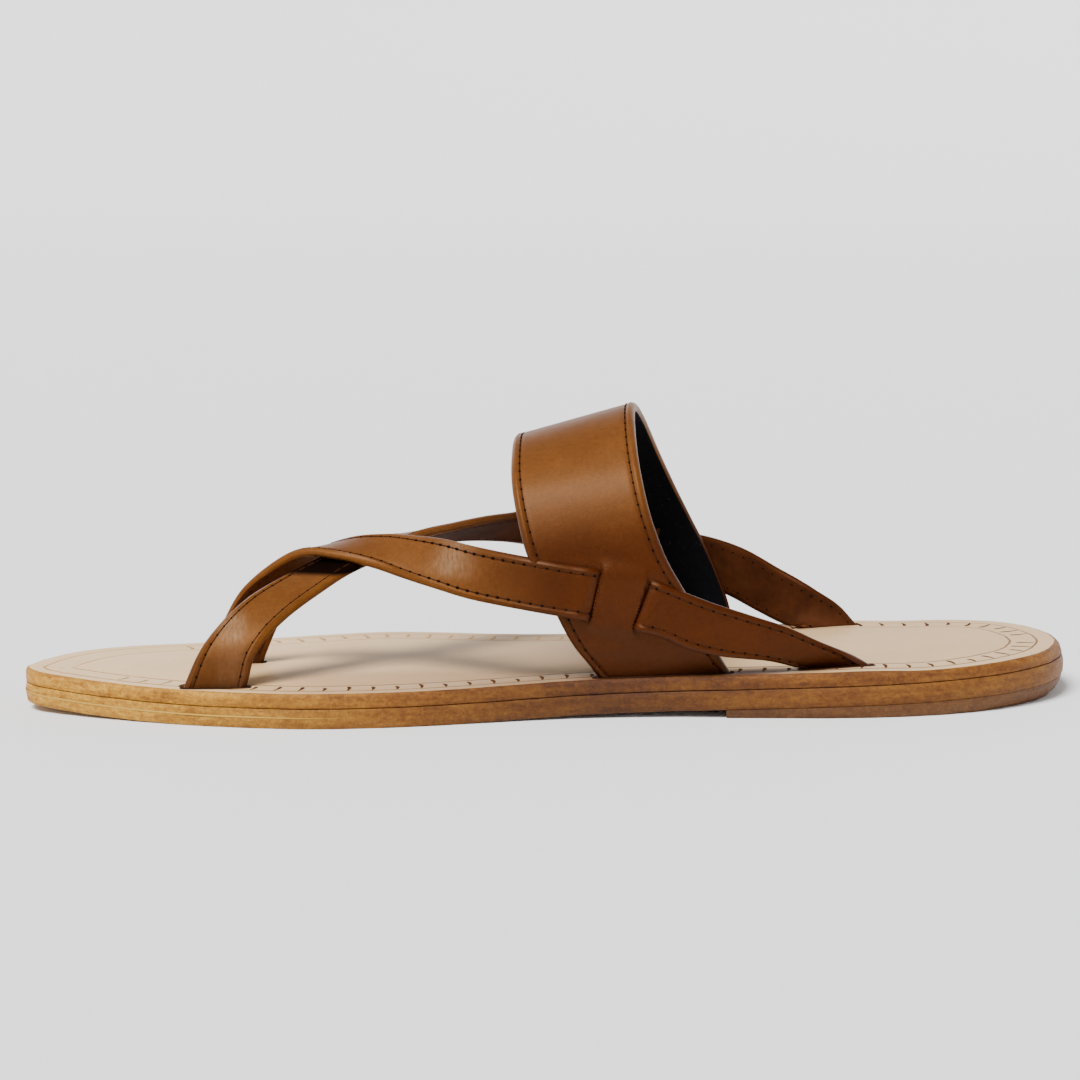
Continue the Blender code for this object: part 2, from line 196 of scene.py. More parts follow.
def ease(x, start, end):
    """From 0 at start to 1 at end, flat at both."""
    t = np.clip((np.asarray(x, float) - start) / (end - start), 0, 1)
    return t * t * (3 - 2 * t)


def bell(x, middle, width):
    """1 at the middle and near 0 beyond twice the width."""
    return np.exp(-((np.asarray(x, float) - middle) / width) ** 2)


# Heights of the layers along the shoe
def share_at(x):
    """Share of the shoe's length, from the toe."""
    return np.asarray(x, float) / LENGTH + 0.5


def underside(x):
    s = share_at(x)
    toe = TOE_SPRING * np.clip((SPRING_START - s) / SPRING_START, 0, 1) ** 2
    waist = WAIST_RAISE * np.clip((s - FLAT_END) / (WAIST - FLAT_END), 0, 1) ** 2
    return toe + waist + (HEEL_RAISE - WAIST_RAISE) * np.clip((s - WAIST) / (1 - WAIST), 0, 1)


def outsole_top(x):
    return underside(x) + OUTSOLE_THICK


def midsole_bottom(x):
    return outsole_top(x) + LAYER_GAP


def midsole_top(x):
    return midsole_bottom(x) + MIDSOLE_THICK


def insole_bottom(x):
    return midsole_top(x) + LAYER_GAP


def insole_top(x):
    return insole_bottom(x) + INSOLE_THICK - HEEL_TRIM * ease(share_at(x), TRIM_START, TRIM_END)


def lift_top(x):
    return underside(x) - LAYER_GAP


# Outline of the sole
def turn_at(share):
    """The angle of the outline at a share of the shoe's length."""
    return math.acos(1 - 2 * share)


EDGE_KNOTS = [turn_at(row.along) for row in OUTLINE]
EDGE_ROWS = [(row.medial * BALL_WIDTH, row.lateral * BALL_WIDTH) for row in OUTLINE]


def edge_points(turns, side, inset):
    """Points of one edge, set in at right angles to it; side is 0 medial and 1 lateral."""
    nudge = 0.002

    def plain(angles):
        angles = np.clip(angles, 0, math.pi)
        return np.stack([-np.cos(angles) * LENGTH / 2, through(EDGE_KNOTS, EDGE_ROWS, angles)[:, side]], 1)

    travel = plain(turns + nudge) - plain(turns - nudge)
    travel /= np.maximum(np.linalg.norm(travel, axis=1), 1e-12)[:, None]
    inward = np.stack([-travel[:, 1], travel[:, 0]], 1) * (1 if side == 0 else -1)
    ends = (turns < nudge) | (turns > math.pi - nudge)
    inward[ends] = np.stack([np.sign(math.pi / 2 - turns[ends]), np.zeros(ends.sum())], 1)
    return plain(turns) + inward * np.reshape(inset, (-1, 1))


# Meshes
SHARP_ANGLE = math.radians(40)


def add_mesh(name, verts, faces, materials, face_slots=None):
    mesh = bpy.data.meshes.new(name)
    mesh.from_pydata([tuple(v) for v in verts], [], [tuple(f) for f in faces])
    mesh.validate()
    for material in materials:
        mesh.materials.append(material)
    if face_slots is not None:
        mesh.polygons.foreach_set("material_index", np.asarray(face_slots, np.int32))
    mesh.shade_smooth()
    mesh.set_sharp_from_angle(angle=SHARP_ANGLE)
    mesh.update()
    piece = bpy.data.objects.new(name, mesh)
    bpy.context.scene.collection.objects.link(piece)
    return piece


def show(piece, material_slot, *nodes):
    """The piece rides on the part's one body and stands in for the nodes that are named."""
    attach(piece, "root")
    for node in nodes:
        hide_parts(node)


def strip_faces(start, steps):
    """Faces between neighbouring pairs of points in a strip that begins at point start."""
    pairs = [start + 2 * k for k in range(steps)]
    return [(i, i + 2, i + 3, i + 1) for i in pairs]


# Materials
WHITE = (1, 1, 1)
OCCLUSION_SAMPLES = 6


class Material:
    """A material and the nodes that colour it. Places are metres on the object's axes."""

    def __init__(self, name, colour, roughness, specular=None):
        self.data = bpy.data.materials.new(name)
        self.data.use_nodes = True
        self.nodes, self.links = self.data.node_tree.nodes, self.data.node_tree.links
        self.sockets = self.nodes["Principled BSDF"].inputs
        self.place = self.nodes.new("ShaderNodeTexCoord").outputs["Object"]
        self.set("Base Color", colour)
        self.set("Roughness", roughness)
        if specular is not None:
            self.set("Specular IOR Level", specular)

    def plug(self, value, socket):
        """A number, a colour or another node's output goes into a socket."""
        if isinstance(value, (int, float)):
            socket.default_value = value
        elif isinstance(value, tuple):
            socket.default_value = (*value, 1)
        else:
            self.links.new(value, socket)

    def set(self, name, value):
        self.plug(value, self.sockets[name])

    def noise(self, scale, detail, roughness, stretch=None):
        vector = self.place
        if stretch:
            mapping = self.nodes.new("ShaderNodeMapping")
            mapping.inputs["Scale"].default_value = stretch
            self.links.new(vector, mapping.inputs["Vector"])
            vector = mapping.outputs["Vector"]
        texture = self.nodes.new("ShaderNodeTexNoise")
        self.plug(scale, texture.inputs["Scale"])
        self.plug(detail, texture.inputs["Detail"])
        self.plug(roughness, texture.inputs["Roughness"])
        self.links.new(vector, texture.inputs["Vector"])
        return texture.outputs["Fac"]

    def ramp(self, value, stops):
        node = self.nodes.new("ShaderNodeValToRGB")
        elements = node.color_ramp.elements
        while len(elements) < len(stops):
            elements.new(0.5)
        for element, (position, colour) in zip(elements, stops):
            element.position = position
            element.color = (*colour, 1)
        self.links.new(value, node.inputs["Fac"])
        return node.outputs["Color"]

    def mix(self, kind, factor, a, b):
        node = self.nodes.new("ShaderNodeMix")
        node.data_type = "RGBA"
        node.blend_type = kind
        for socket, value in ((node.inputs[0], factor), (node.inputs[6], a), (node.inputs[7], b)):
            self.plug(value, socket)
        return node.outputs[2]

    def multiply(self, a, b, factor=1.0):
        return self.mix("MULTIPLY", factor, a, b)

    def along(self, axis, zero_at, one_at, kind="SMOOTHSTEP"):
        """From 0 to 1 between two places on one axis of the object."""
        split = self.nodes.new("ShaderNodeSeparateXYZ")
        self.links.new(self.place, split.inputs["Vector"])
        node = self.nodes.new("ShaderNodeMapRange")
        node.interpolation_type = kind
        self.plug(zero_at, node.inputs["From Min"])
        self.plug(one_at, node.inputs["From Max"])
        self.links.new(split.outputs[axis], node.inputs["Value"])
        return node.outputs["Result"]

    def share_of_length(self):
        return self.along("X", -LENGTH / 2, LENGTH / 2, "LINEAR")

    def patch(self, first, *others):
        """1 inside a patch of the object; each limit is (axis, zero_at, one_at) and may end with a weight."""
        inside = self.along(*first)
        for axis, zero_at, one_at, *weight in others:
            inside = self.multiply(inside, self.along(axis, zero_at, one_at), *weight)
        return inside

    def occlusion_shade(self, colour, reach, deepest):
        """The colour with painted shade, darker where other surfaces come close."""
        shade = self.nodes.new("ShaderNodeAmbientOcclusion")
        shade.samples = OCCLUSION_SAMPLES
        self.plug(reach, shade.inputs["Distance"])
        return self.multiply(colour, self.ramp(shade.outputs["AO"], [(0.15, deepest), (0.85, WHITE)]))

    def bump(self, height, strength, distance):
        node = self.nodes.new("ShaderNodeBump")
        self.plug(strength, node.inputs["Strength"])
        self.plug(distance, node.inputs["Distance"])
        self.links.new(height, node.inputs["Height"])
        self.set("Normal", node.outputs["Normal"])


def tan_leather(name, crossed):
    """The upper's leather, with painted shade that makes it redder and darker low at the rear and darker at the
    front feet.

    The crossed strap has a nearly black painted shadow where it runs under the other one, and a painted
    highlight at its bend near the toe.
    The other pieces have a painted highlight where the toe strap faces the light.
    """
    look = Material(name, (0.11, 0.037, 0.007), 0.42)
    colour = look.ramp(look.noise(28, 6, 0.72), [
        (0.30, (0.086, 0.0265, 0.0040)), (0.52, (0.112, 0.0370, 0.0068)), (0.72, (0.142, 0.0490, 0.0105))])
    colour = look.mix("OVERLAY", 0.30, colour, look.noise(900, 4, 0.7))
    # Painted shade: darker and redder low on the rear of the upper.
    rear = look.ramp(look.along("X", -30 * MM, 4 * MM), [(0, WHITE), (1, (0.33, 0.175, 0.080))])
    colour = look.multiply(colour, look.mix("MIX", look.along("Z", 42 * MM, 64 * MM), rear, WHITE))
    # Painted shade: the straps' feet near the toe are darker.
    front_feet_shade = look.patch(("Z", 21.5 * MM, 15 * MM), ("X", -60 * MM, -72 * MM))
    colour = look.multiply(colour, (0.66, 0.64, 0.80), front_feet_shade)
    if crossed:
        # Painted shadow: nearly black, with little gloss, where the crossed strap runs under the toe strap.
        shadow_under_toe_strap = look.patch(("Z", 34.2 * MM, 35.4 * MM), ("X", -46 * MM, -49.5 * MM))
        colour = look.mix("MIX", shadow_under_toe_strap, colour, (0.004, 0.0015, 0.001))
        look.set("Specular IOR Level", look.mix("MIX", shadow_under_toe_strap, (0.24, 0.24, 0.24), (0.01, 0.01, 0.01)))
        # Painted highlight at the crossed strap's bend near the toe.
        painted_highlight_patch = look.patch(("X", -76 * MM, -80 * MM), ("X", -87 * MM, -82 * MM),
                          ("Z", 18.5 * MM, 22.5 * MM, 0.8), ("Z", 28.5 * MM, 24.5 * MM))
    else:
        look.set("Specular IOR Level", 0.24)
        look.set("Coat Weight", 0.03)
        # Painted highlight where the toe strap faces the light.
        painted_highlight_patch = look.patch(("X", -36 * MM, -26 * MM), ("X", -16 * MM, -26 * MM),
                          ("Y", -18 * MM, -26 * MM), ("Z", 33.5 * MM, 38.5 * MM))
    # Painted highlight: a pale patch broken into streaks by the wrinkles.
    wrinkles = look.noise(420, 5, 0.7, (3.2, 1, 0.8))
    highlight_streaks = look.ramp(wrinkles, [(0.30, (0.04, 0.04, 0.04)), (0.75, (0.42, 0.42, 0.42))])
    colour = look.mix("MIX", look.multiply(painted_highlight_patch, highlight_streaks), colour, (0.42, 0.28, 0.17))
    # Painted shade where other surfaces come close.
    look.set("Base Color", look.occlusion_shade(colour, 7 * MM, (0.16, 0.12, 0.10)))
    look.set("Specular Tint", (1.0, 0.54, 0.24))
    look.set("Coat Roughness", 0.25)
    toe_bend = look.patch(("X", -68 * MM, -74 * MM), ("Z", 16.5 * MM, 20.5 * MM))
    wrinkled = look.mix("ADD", 1.0, painted_highlight_patch, look.multiply(toe_bend, (0.6, 0.6, 0.6)))
    grain = look.noise(1700, 5, 0.7)
    look.bump(look.mix("ADD", 1.0, grain, look.multiply(wrinkles, wrinkled)), 0.42, 0.22 * MM)
    return look.data


def inner_leather():
    look = Material("brown strap lining leather", (0.045, 0.012, 0.003), 0.8, 0.08)
    stops = [(0.32, (0.028, 0.0070, 0.0012)), (0.68, (0.060, 0.0170, 0.0036))]
    look.set("Base Color", look.ramp(look.noise(120, 5, 0.65), stops))
    look.bump(look.noise(1200, 4, 0.65), 0.3, 0.2 * MM)
    return look.data


def lining():
    """Black felt with specks of lint."""
    look = Material("black felt lining", (0.006, 0.006, 0.007), 0.95, 0.06)
    stops = [(0.67, (0.003, 0.003, 0.004)), (0.78, (0.02, 0.02, 0.025))]
    look.set("Base Color", look.ramp(look.noise(1300, 2, 0.5), stops))
    look.bump(look.noise(2500, 2, 0.6), 0.4, 0.3 * MM)
    return look.data


def natural_leather():
    """The insole's leather, with painted shade across the ball up to the band, a painted shadow of the near
    strap with some smudging at the near side, and a brown near border round the band's foot that is partly the
    rounded edge's own colour and partly painted shade.
    """
    look = Material("natural insole leather", (0.60, 0.47, 0.36), 0.55, 0.3)
    colour = look.ramp(look.noise(22, 4, 0.55), [
        (0.30, (0.680, 0.430, 0.212)), (0.55, (0.740, 0.490, 0.255)), (0.75, (0.790, 0.535, 0.290))])
    colour = look.mix("OVERLAY", 0.15, colour, look.noise(700, 4, 0.6))
    # Painted shade across the ball, darkest just in front of the band.
    colour = look.multiply(colour, look.ramp(look.share_of_length(), [
        (0.00, WHITE), (0.24, (0.96, 0.95, 0.94)), (0.36, (0.78, 0.77, 0.75)),
        (0.50, (0.50, 0.47, 0.43)), (0.64, (0.75, 0.74, 0.74)), (1.00, (0.81, 0.81, 0.80))]))
    # Painted shadow of the near strap, with some smudging, at the near side.
    strap_shadow_and_smudge = look.patch(("X", -80 * MM, -55 * MM), ("Y", -11 * MM, -23 * MM), ("X", 12 * MM, -4 * MM))
    colour = look.multiply(colour, (0.79, 0.74, 0.69), strap_shadow_and_smudge)
    # Brown near border round the band's foot: partly the rounded edge's own colour, partly painted shade.
    border_brown_and_shade = look.patch(("X", -4 * MM, 18 * MM), ("X", 74 * MM, 50 * MM), ("Y", -27.5 * MM, -34 * MM, 0.9))
    colour = look.mix("MIX", border_brown_and_shade, colour, (0.170, 0.062, 0.022))
    # Painted shade where other surfaces come close.
    look.set("Base Color", look.occlusion_shade(colour, 11 * MM, (0.20, 0.13, 0.09)))
    look.bump(look.noise(1100, 4, 0.6), 0.15, 0.2 * MM)
    return look.data


def sole_leather(name, dark, mid, light):
    """A cut edge of leather, yellow at the toe and darkest at the waist."""
    look = Material(name, mid, 0.55, 0.25)
    fibres = look.noise(520, 6, 0.75, (1, 1, 1.6))
    streaks = look.mix("MIX", 0.25, look.noise(60, 6, 0.65, (1, 1, 9)), look.noise(190, 5, 0.7))
    colour = look.ramp(look.mix("MIX", 0.5, streaks, fibres), [(0.40, dark), (0.5, mid), (0.60, light)])
    pores = look.noise(1300, 4, 0.75)
    colour = look.mix("OVERLAY", 0.6, colour, pores)
    shade = look.ramp(look.share_of_length(), [
        (0.0, (1.0, 1.0, 0.55)), (0.12, (0.96, 0.96, 0.52)), (0.35, (0.47, 0.36, 0.19)),
        (0.55, (0.16, 0.098, 0.028)), (0.75, (0.33, 0.23, 0.095)), (1.0, (0.44, 0.34, 0.18))])
    look.set("Base Color", look.multiply(colour, shade))
    look.bump(look.mix("ADD", 1.0, pores, fibres), 0.7, 0.3 * MM)
    return look.data


def dull(name, colour):
    return Material(name, colour, 0.9, 0.05).data


TAN = tan_leather("tan strap leather", False)
TAN_CROSSED = tan_leather("tan leather of the crossed strap", True)
INNER = inner_leather()
LINING = lining()
NATURAL = natural_leather()
EDGE_UPPER = sole_leather("insole edge leather",
                          (0.22, 0.082, 0.009), (0.38, 0.168, 0.025), (0.54, 0.275, 0.055))
EDGE_LOWER = sole_leather("sole edge leather",
                          (0.24, 0.095, 0.012), (0.38, 0.175, 0.028), (0.52, 0.280, 0.060))
STACK = sole_leather("heel lift leather",
                     (0.18, 0.085, 0.042), (0.26, 0.135, 0.070), (0.34, 0.190, 0.110))
THREAD = dull("dark brown thread", (0.040, 0.012, 0.004))
# Painted shade in the stitch holes.
HOLE_SHADE = dull("painted shade in a stitch hole", (0.004, 0.002, 0.001))
CUT = dull("cut leather mark", (0.070, 0.028, 0.010))
SCORE = dull("scored leather line", (0.290, 0.165, 0.075))
FAINT = dull("faint leather mark", (0.400, 0.240, 0.115))
# Painted shade in the slots of the insole.
SLOT_SHADE = dull("painted shade in the insole slots", (0.030, 0.012, 0.006))
PALE = dull("pale seam of the sole", (0.46, 0.27, 0.06))


# Sole
WAVE = 0.11 * MM
TOP_SHARE = 0.995
SCORE_INSETS = 4.7 * MM, 11.8 * MM
SCORE_DEPTH = 0.04 * MM
BORDER_HEEL = 2.2 * MM
INSOLE_DROP, MIDSOLE_DROP, LIFT_RISE = 0.19 * MM, 0.28 * MM, 0.26 * MM


def heel_share(turns):
    """0 along the shoe, and up to 1 round the back of the heel."""
    return ease((1 - np.cos(turns)) / 2, HEEL_ROUND_START, 1)


def layer(name, side_steps, bottom, top, side_material, top_material, first_share=0.0, order=0):
    """A layer of the sole as rings of the outline, from the bottom up.

    side_steps are (inset, inset added at the heel, share of the height). Steps over TOP_SHARE take the top's
    material, so the sunk steps of the scored lines keep the side's. The layer starts at first_share of the
    length, and order shifts the waves of its edge against its neighbours'.
    """
    round_front = first_share == 0
    count = SECTIONS if round_front else SECTIONS // 2
    start = turn_at(first_share)
    turns = start + (math.pi - start) * np.arange(count + 1) / count
    back = heel_share(turns)
    rings = []
    for inset, heel, up in side_steps:
        phase = up + order
        sides = []
        for side in (0, 1):
            # Uneven waves, as of an edge cut by hand
            wobble = WAVE * (np.sin(turns * 23 + side + 3 * phase) * np.sin(turns * 41 + 2 * side)
                             + 0.6 * np.sin(turns * 113 + 5 * phase + side) * np.sin(turns * 71 + 9 * phase))
            points = edge_points(turns, side, inset + heel * back + wobble)
            low, high = bottom(points[:, 0]), top(points[:, 0])
            sides.append(np.column_stack([points, low + (high - low) * up]))
        lateral = sides[1][1 if round_front else 0:-1][::-1]
        rings.append(np.vstack([sides[0], lateral]))
    ring = len(rings[0])
    faces, slots = [], []
    for level in range(len(rings) - 1):
        for i in range(ring):
            a, b = level * ring + i, level * ring + (i + 1) % ring
            faces.append((a, b, b + ring, a + ring))
            slots.append(1 if side_steps[level][2] >= TOP_SHARE else 0)
    opposite = 0 if round_front else 1
    for base, slot in ((0, 0), (ring * (len(rings) - 1), 1)):
        for i in range(count):
            corners = [i, i + 1, (ring - i - 1 - opposite) % ring, (ring - i - opposite) % ring]
            face = tuple(dict.fromkeys(base + corner for corner in corners))
            faces.append(face if base else face[::-1])
            slots.append(slot)
    return add_mesh(name, np.vstack(rings), faces, [side_material, top_material], slots)


INSOLE_SIDE = [
    (0.45 * MM, 0.3 * MM, 0.00), (0.10 * MM, 0.4 * MM, 0.06), (0.00, 0.5 * MM, 0.16),
    (0.05 * MM, 0.8 * MM, 0.50), (0.12 * MM, 1.1 * MM, 0.74), (0.30 * MM, 1.35 * MM, 0.90),
    (0.62 * MM, 1.45 * MM, 0.975), (1.00 * MM, 1.5 * MM, 1.00),
]
for score_at in SCORE_INSETS:
    for offset, sunk in ((-0.45 * MM, 0), (-0.12 * MM, 1), (0.12 * MM, 1), (0.45 * MM, 0)):
        INSOLE_SIDE.append((score_at + offset, BORDER_HEEL, 1 - sunk * SCORE_DEPTH / INSOLE_THICK))
MIDSOLE_SIDE = [(0.04 * MM, 0.0, 0.00), (0.04 * MM, 0.0, 0.08), (0.06 * MM, 0.1 * MM, 0.4),
                (0.09 * MM, 0.3 * MM, 0.93), (0.20 * MM, 0.3 * MM, 1.00)]
OUTSOLE_SIDE = [(0.60 * MM, 0.0, 0.00), (0.30 * MM, 0.0, 0.12), (0.12 * MM, 0.0, 0.35), (0.00, 0.0, 0.7),
                (0.04 * MM, 0.0, 0.95), (0.04 * MM, 0.0, 1.00)]
LIFT_SIDE = [(0.60 * MM, 3.0 * MM, 0.00), (0.35 * MM, 2.4 * MM, 0.10), (0.30 * MM, 1.6 * MM, 0.30),
             (0.24 * MM, 0.9 * MM, 0.55), (0.30 * MM, 0.4 * MM, 0.75), (0.45 * MM, 0.1 * MM, 1.00)]

# Each layer reaches into the gap to its neighbour, so that only a thin seam shows
show(layer("insole_look", INSOLE_SIDE, lambda x: insole_bottom(x) - INSOLE_DROP, insole_top,
           EDGE_UPPER, NATURAL, order=2), "natural_leather", "insole")
show(layer("midsole_look", MIDSOLE_SIDE, lambda x: midsole_bottom(x) - MIDSOLE_DROP, midsole_top,
           EDGE_LOWER, EDGE_LOWER, order=1), "sole_leather", "midsole")
show(layer("outsole_look", OUTSOLE_SIDE, underside, outsole_top,
           EDGE_LOWER, EDGE_LOWER), "sole_leather", "outsole")
show(layer("heel_lift_look", LIFT_SIDE, lambda x: 0 * x, lambda x: lift_top(x) + LIFT_RISE,
           STACK, STACK, LIFT_BREAST, order=-1), "heel_leather", "heel_lift")


# Walls of the upper
TAIL_RISE = 0.3 * MM
BAND_STEP, STRAP_STEP = 0.9 * MM, 0.5 * MM
BAND_POINTS, STRAP_POINTS = 110, 24
BAND_SEAM, STRAP_SEAM = 2.5 * MM, 2.0 * MM
EDGE_ROLL, EDGE_ROLL_AT, EDGE_ROLL_WIDTH = 0.16 * MM, 1.2 * MM, 0.9 * MM
SEAM_DEPTH, SEAM_WIDTH = 0.20 * MM, 0.55 * MM
ROUND_ANGLES = 70, 45, 20, -10, -40, -68

Line = namedtuple("Line", "middle across normal places")


def travelled(path):
    """Length along a path up to each of its points."""
    return np.concatenate([[0], np.cumsum(np.linalg.norm(np.diff(path, axis=0), axis=1))])


def point_at(path, walked, at):
    return np.array([np.interp(at, walked, path[:, i]) for i in range(path.shape[1])])


def wall_line(stations, width, step):
    """Middle points, directions across the wall, normals and travelled lengths, with a tail in the insole."""
    rows = []
    for s in stations:
        x = s.along * LENGTH
        z = float(insole_top(x)) + s.up * ARCH_HEIGHT
        rows.append([x, s.across * BALL_WIDTH / 2, z, s.wide_x, s.wide_y, s.wide_z, s.out * LAP])
    for end in (0, -1):
        tail, ahead = list(rows[end]), rows[1 if end == 0 else -2]
        reach = tail[3] * width / 2
        tail[2] = float(insole_bottom(tail[0])) + TAIL_RISE
        tail[0] += (rows[end][0] - ahead[0]) * (rows[end][2] - tail[2]) / (ahead[2] - rows[end][2])
        tail[5] = float(insole_bottom(tail[0] + reach) - insole_bottom(tail[0] - reach)) / width
        rows.insert(0 if end == 0 else len(rows), tail)
    rows = np.array(rows)
    knots = travelled(rows[:, :3])
    places = np.linspace(0, knots[-1], int(knots[-1] / step) + 1)
    samples = through(knots, rows, places)
    travel = np.gradient(samples[:, :3], places, axis=0)
    travel[0], travel[-1] = (0, 0, 1), (0, 0, -1)
    travel /= np.linalg.norm(travel, axis=1)[:, None]
    across = samples[:, 3:6]
    normal = np.cross(travel, across)
    normal /= np.linalg.norm(normal, axis=1)[:, None]
    return Line(samples[:, :3] + normal * samples[:, 6:7], across, normal, places)


def folded_profile(width, thick, flat_points, seam_in):
    """Round a strip with folded edges: (place across, place through it, is it on the inner face)."""
    radius = thick / 2
    flat_half = width / 2 - radius
    flat = np.linspace(-flat_half, flat_half, flat_points)
    profile = []
    for w in flat:
        inset = width / 2 - abs(w)
        roll = EDGE_ROLL * bell(inset, EDGE_ROLL_AT, EDGE_ROLL_WIDTH)
        roll -= SEAM_DEPTH * bell(inset, seam_in, SEAM_WIDTH)
        profile.append((w, radius + roll, 0))
    for angle in ROUND_ANGLES:
        a = math.radians(angle)
        profile.append((flat_half + radius * math.cos(a), radius * math.sin(a), 0))
    profile += [(w, -radius, 1) for w in flat[::-1]]
    for angle in reversed(ROUND_ANGLES):
        a = math.radians(angle)
        profile.append((-flat_half - radius * math.cos(a), radius * math.sin(a), 0))
    return profile


def wall(name, line, profile, materials, puff=None):
    """A profile swept along a line; puff gives how far places on the outer face stand out more."""
    wide, deep, inner = (np.array(column) for column in zip(*profile))
    count, ring = len(line.middle), len(profile)
    base = line.middle[:, None, :] + line.across[:, None, :] * wide[None, :, None]
    depth = np.repeat(deep[None, :], count, 0)
    if puff:
        depth = depth + puff(base) * (deep[None, :] > 0)
    verts = (base + line.normal[:, None, :] * depth[:, :, None]).reshape(-1, 3)
    faces = [tuple(range(ring)), tuple(reversed(range((count - 1) * ring, count * ring)))]
    slots = [0, 0]
    for i in range(count - 1):
        for k in range(ring):
            a, b = i * ring + k, i * ring + (k + 1) % ring
            faces.append((a, b, b + ring, a + ring))
            slots.append(inner[k])
    show(add_mesh(name, verts, faces, materials, slots), "tan_leather", "upper")


# The bridges of the band over the two straps lie between slits in it
Bridge = namedtuple("Bridge", "side front rear slant middle_x middle_z slope")
BRIDGES = [
    Bridge(-1, 0.0446 * LENGTH, 0.0857 * LENGTH, 0.29, 0.065 * LENGTH, 0.330, -0.9),
    Bridge(1, 0.0693 * LENGTH, 0.1073 * LENGTH, 0.27, 0.088 * LENGTH, 0.372, -0.82),
]
PUFF = 1.15 * MM
SLOPE_SHARE = 0.25
SLIT_SOFT, END_SOFT = 0.3 * MM, 4.2 * MM
SLIT_END, SOFT_END = 6.6 * MM, 9.5 * MM
PUFF_END, FLAT_FROM = 6.0 * MM, 11.0 * MM
BRIDGE_SIDE, BRIDGE_MARGIN = 20 * MM, 0.8 * MM


def bridge_puff(base):
    """How far the band's outer face stands out where a strap runs under it."""
    x, y, z = base[..., 0], base[..., 1], base[..., 2]
    lift = np.zeros(x.shape)
    for b in BRIDGES:
        middle_z = insole_top(b.middle_x) + b.middle_z * ARCH_HEIGHT
        rise = z - (middle_z + (x - b.middle_x) * b.slope * SLOPE_SHARE)
        front, rear = b.front + rise * b.slant, b.rear + rise * b.slant
        soft = SLIT_SOFT + END_SOFT * ease(np.abs(rise), SLIT_END, SOFT_END)
        along = ease(x, front - soft, front + soft * 0.5) * (1 - ease(x, rear - soft * 0.5, rear + soft))
        upright = 1 - ease(np.abs(rise), PUFF_END, FLAT_FROM)
        lift += PUFF * along * upright * (y * b.side > 0)
    return lift


def under_bridge(place):
    x, y, z = place
    for b in BRIDGES:
        shift = (z - insole_top(b.middle_x) - b.middle_z * ARCH_HEIGHT) * b.slant
        if y * b.side > BRIDGE_SIDE and b.front - BRIDGE_MARGIN < x - shift < b.rear + BRIDGE_MARGIN:
            return True
    return False


band_line = wall_line(BAND, BAND_WIDTH, BAND_STEP)
toe_line = wall_line(TOE_STRAP, STRAP_WIDTH, STRAP_STEP)
side_line = wall_line(SIDE_STRAP, STRAP_WIDTH, STRAP_STEP)
strap_profile = folded_profile(STRAP_WIDTH, STRAP_THICK, STRAP_POINTS, STRAP_SEAM)
wall("band_look", band_line, folded_profile(BAND_WIDTH, BAND_THICK, BAND_POINTS, BAND_SEAM),
     [TAN, LINING], bridge_puff)
wall("toe_strap_look", toe_line, strap_profile, [TAN, INNER])
wall("side_strap_look", side_line, strap_profile, [TAN_CROSSED, INNER])


# Stitches
PITCH = 3.1 * MM
STITCH_LENGTH, STITCH_SINK = 2.4 * MM, 0.12 * MM
BAND_THREAD, STRAP_THREAD = 0.18 * MM, 0.19 * MM
HOLE_LENGTH, HOLE_RADIUS = 0.70 * MM, 0.25 * MM
BAND_ENDS, STRAP_ENDS = 6 * MM, 5 * MM
TANGENT_REACH = 0.5 * MM
STITCH_SIDES = 6
STITCH_SHAPE = [(-0.5, 0.35), (-0.36, 0.95), (0.36, 0.95), (0.5, 0.35)]


def stitch_mesh(name, marks, length, radius, material, swell=None):
    """Small rounded bars, one for each (place, direction, normal)."""
    verts, faces = [], []
    for place, along, normal in marks:
        side = np.cross(along, normal)
        start = len(verts)
        size = swell(place) if swell else 1
        for t, r in STITCH_SHAPE:
            for k in range(STITCH_SIDES):
                a = 2 * math.pi * k / STITCH_SIDES
                verts.append(place + along * (t * length * size)
                             + (side * math.cos(a) + normal * math.sin(a)) * (radius * r * size))
        for ring in range(len(STITCH_SHAPE) - 1):
            for k in range(STITCH_SIDES):
                a, b = (start + ring * STITCH_SIDES + i for i in (k, (k + 1) % STITCH_SIDES))
                faces.append((a, b, b + STITCH_SIDES, a + STITCH_SIDES))
        last = start + (len(STITCH_SHAPE) - 1) * STITCH_SIDES
        faces.append(tuple(start + k for k in reversed(range(STITCH_SIDES))))
        faces.append(tuple(last + k for k in range(STITCH_SIDES)))
    show(add_mesh(name, verts, faces, [material]), "tan_leather")


def stitches(name, marks, radius, swell=None):
    """Threads, and a dark dimple of painted shade for the hole at the end of each."""
    stitch_mesh(name + "_stitches", marks, STITCH_LENGTH, radius, THREAD)
    holes = [(place + along * (PITCH / 2), along, normal) for place, along, normal in marks]
    stitch_mesh(name + "_stitch_hole_shade", holes, HOLE_LENGTH, HOLE_RADIUS, HOLE_SHADE, swell)


def stretched_holes(place):
    """Holes are pulled open where the toe strap bends most."""
    return 1 + 0.5 * float(bell(place[0], -22 * MM, 17 * MM)) * (place[1] < -12 * MM)


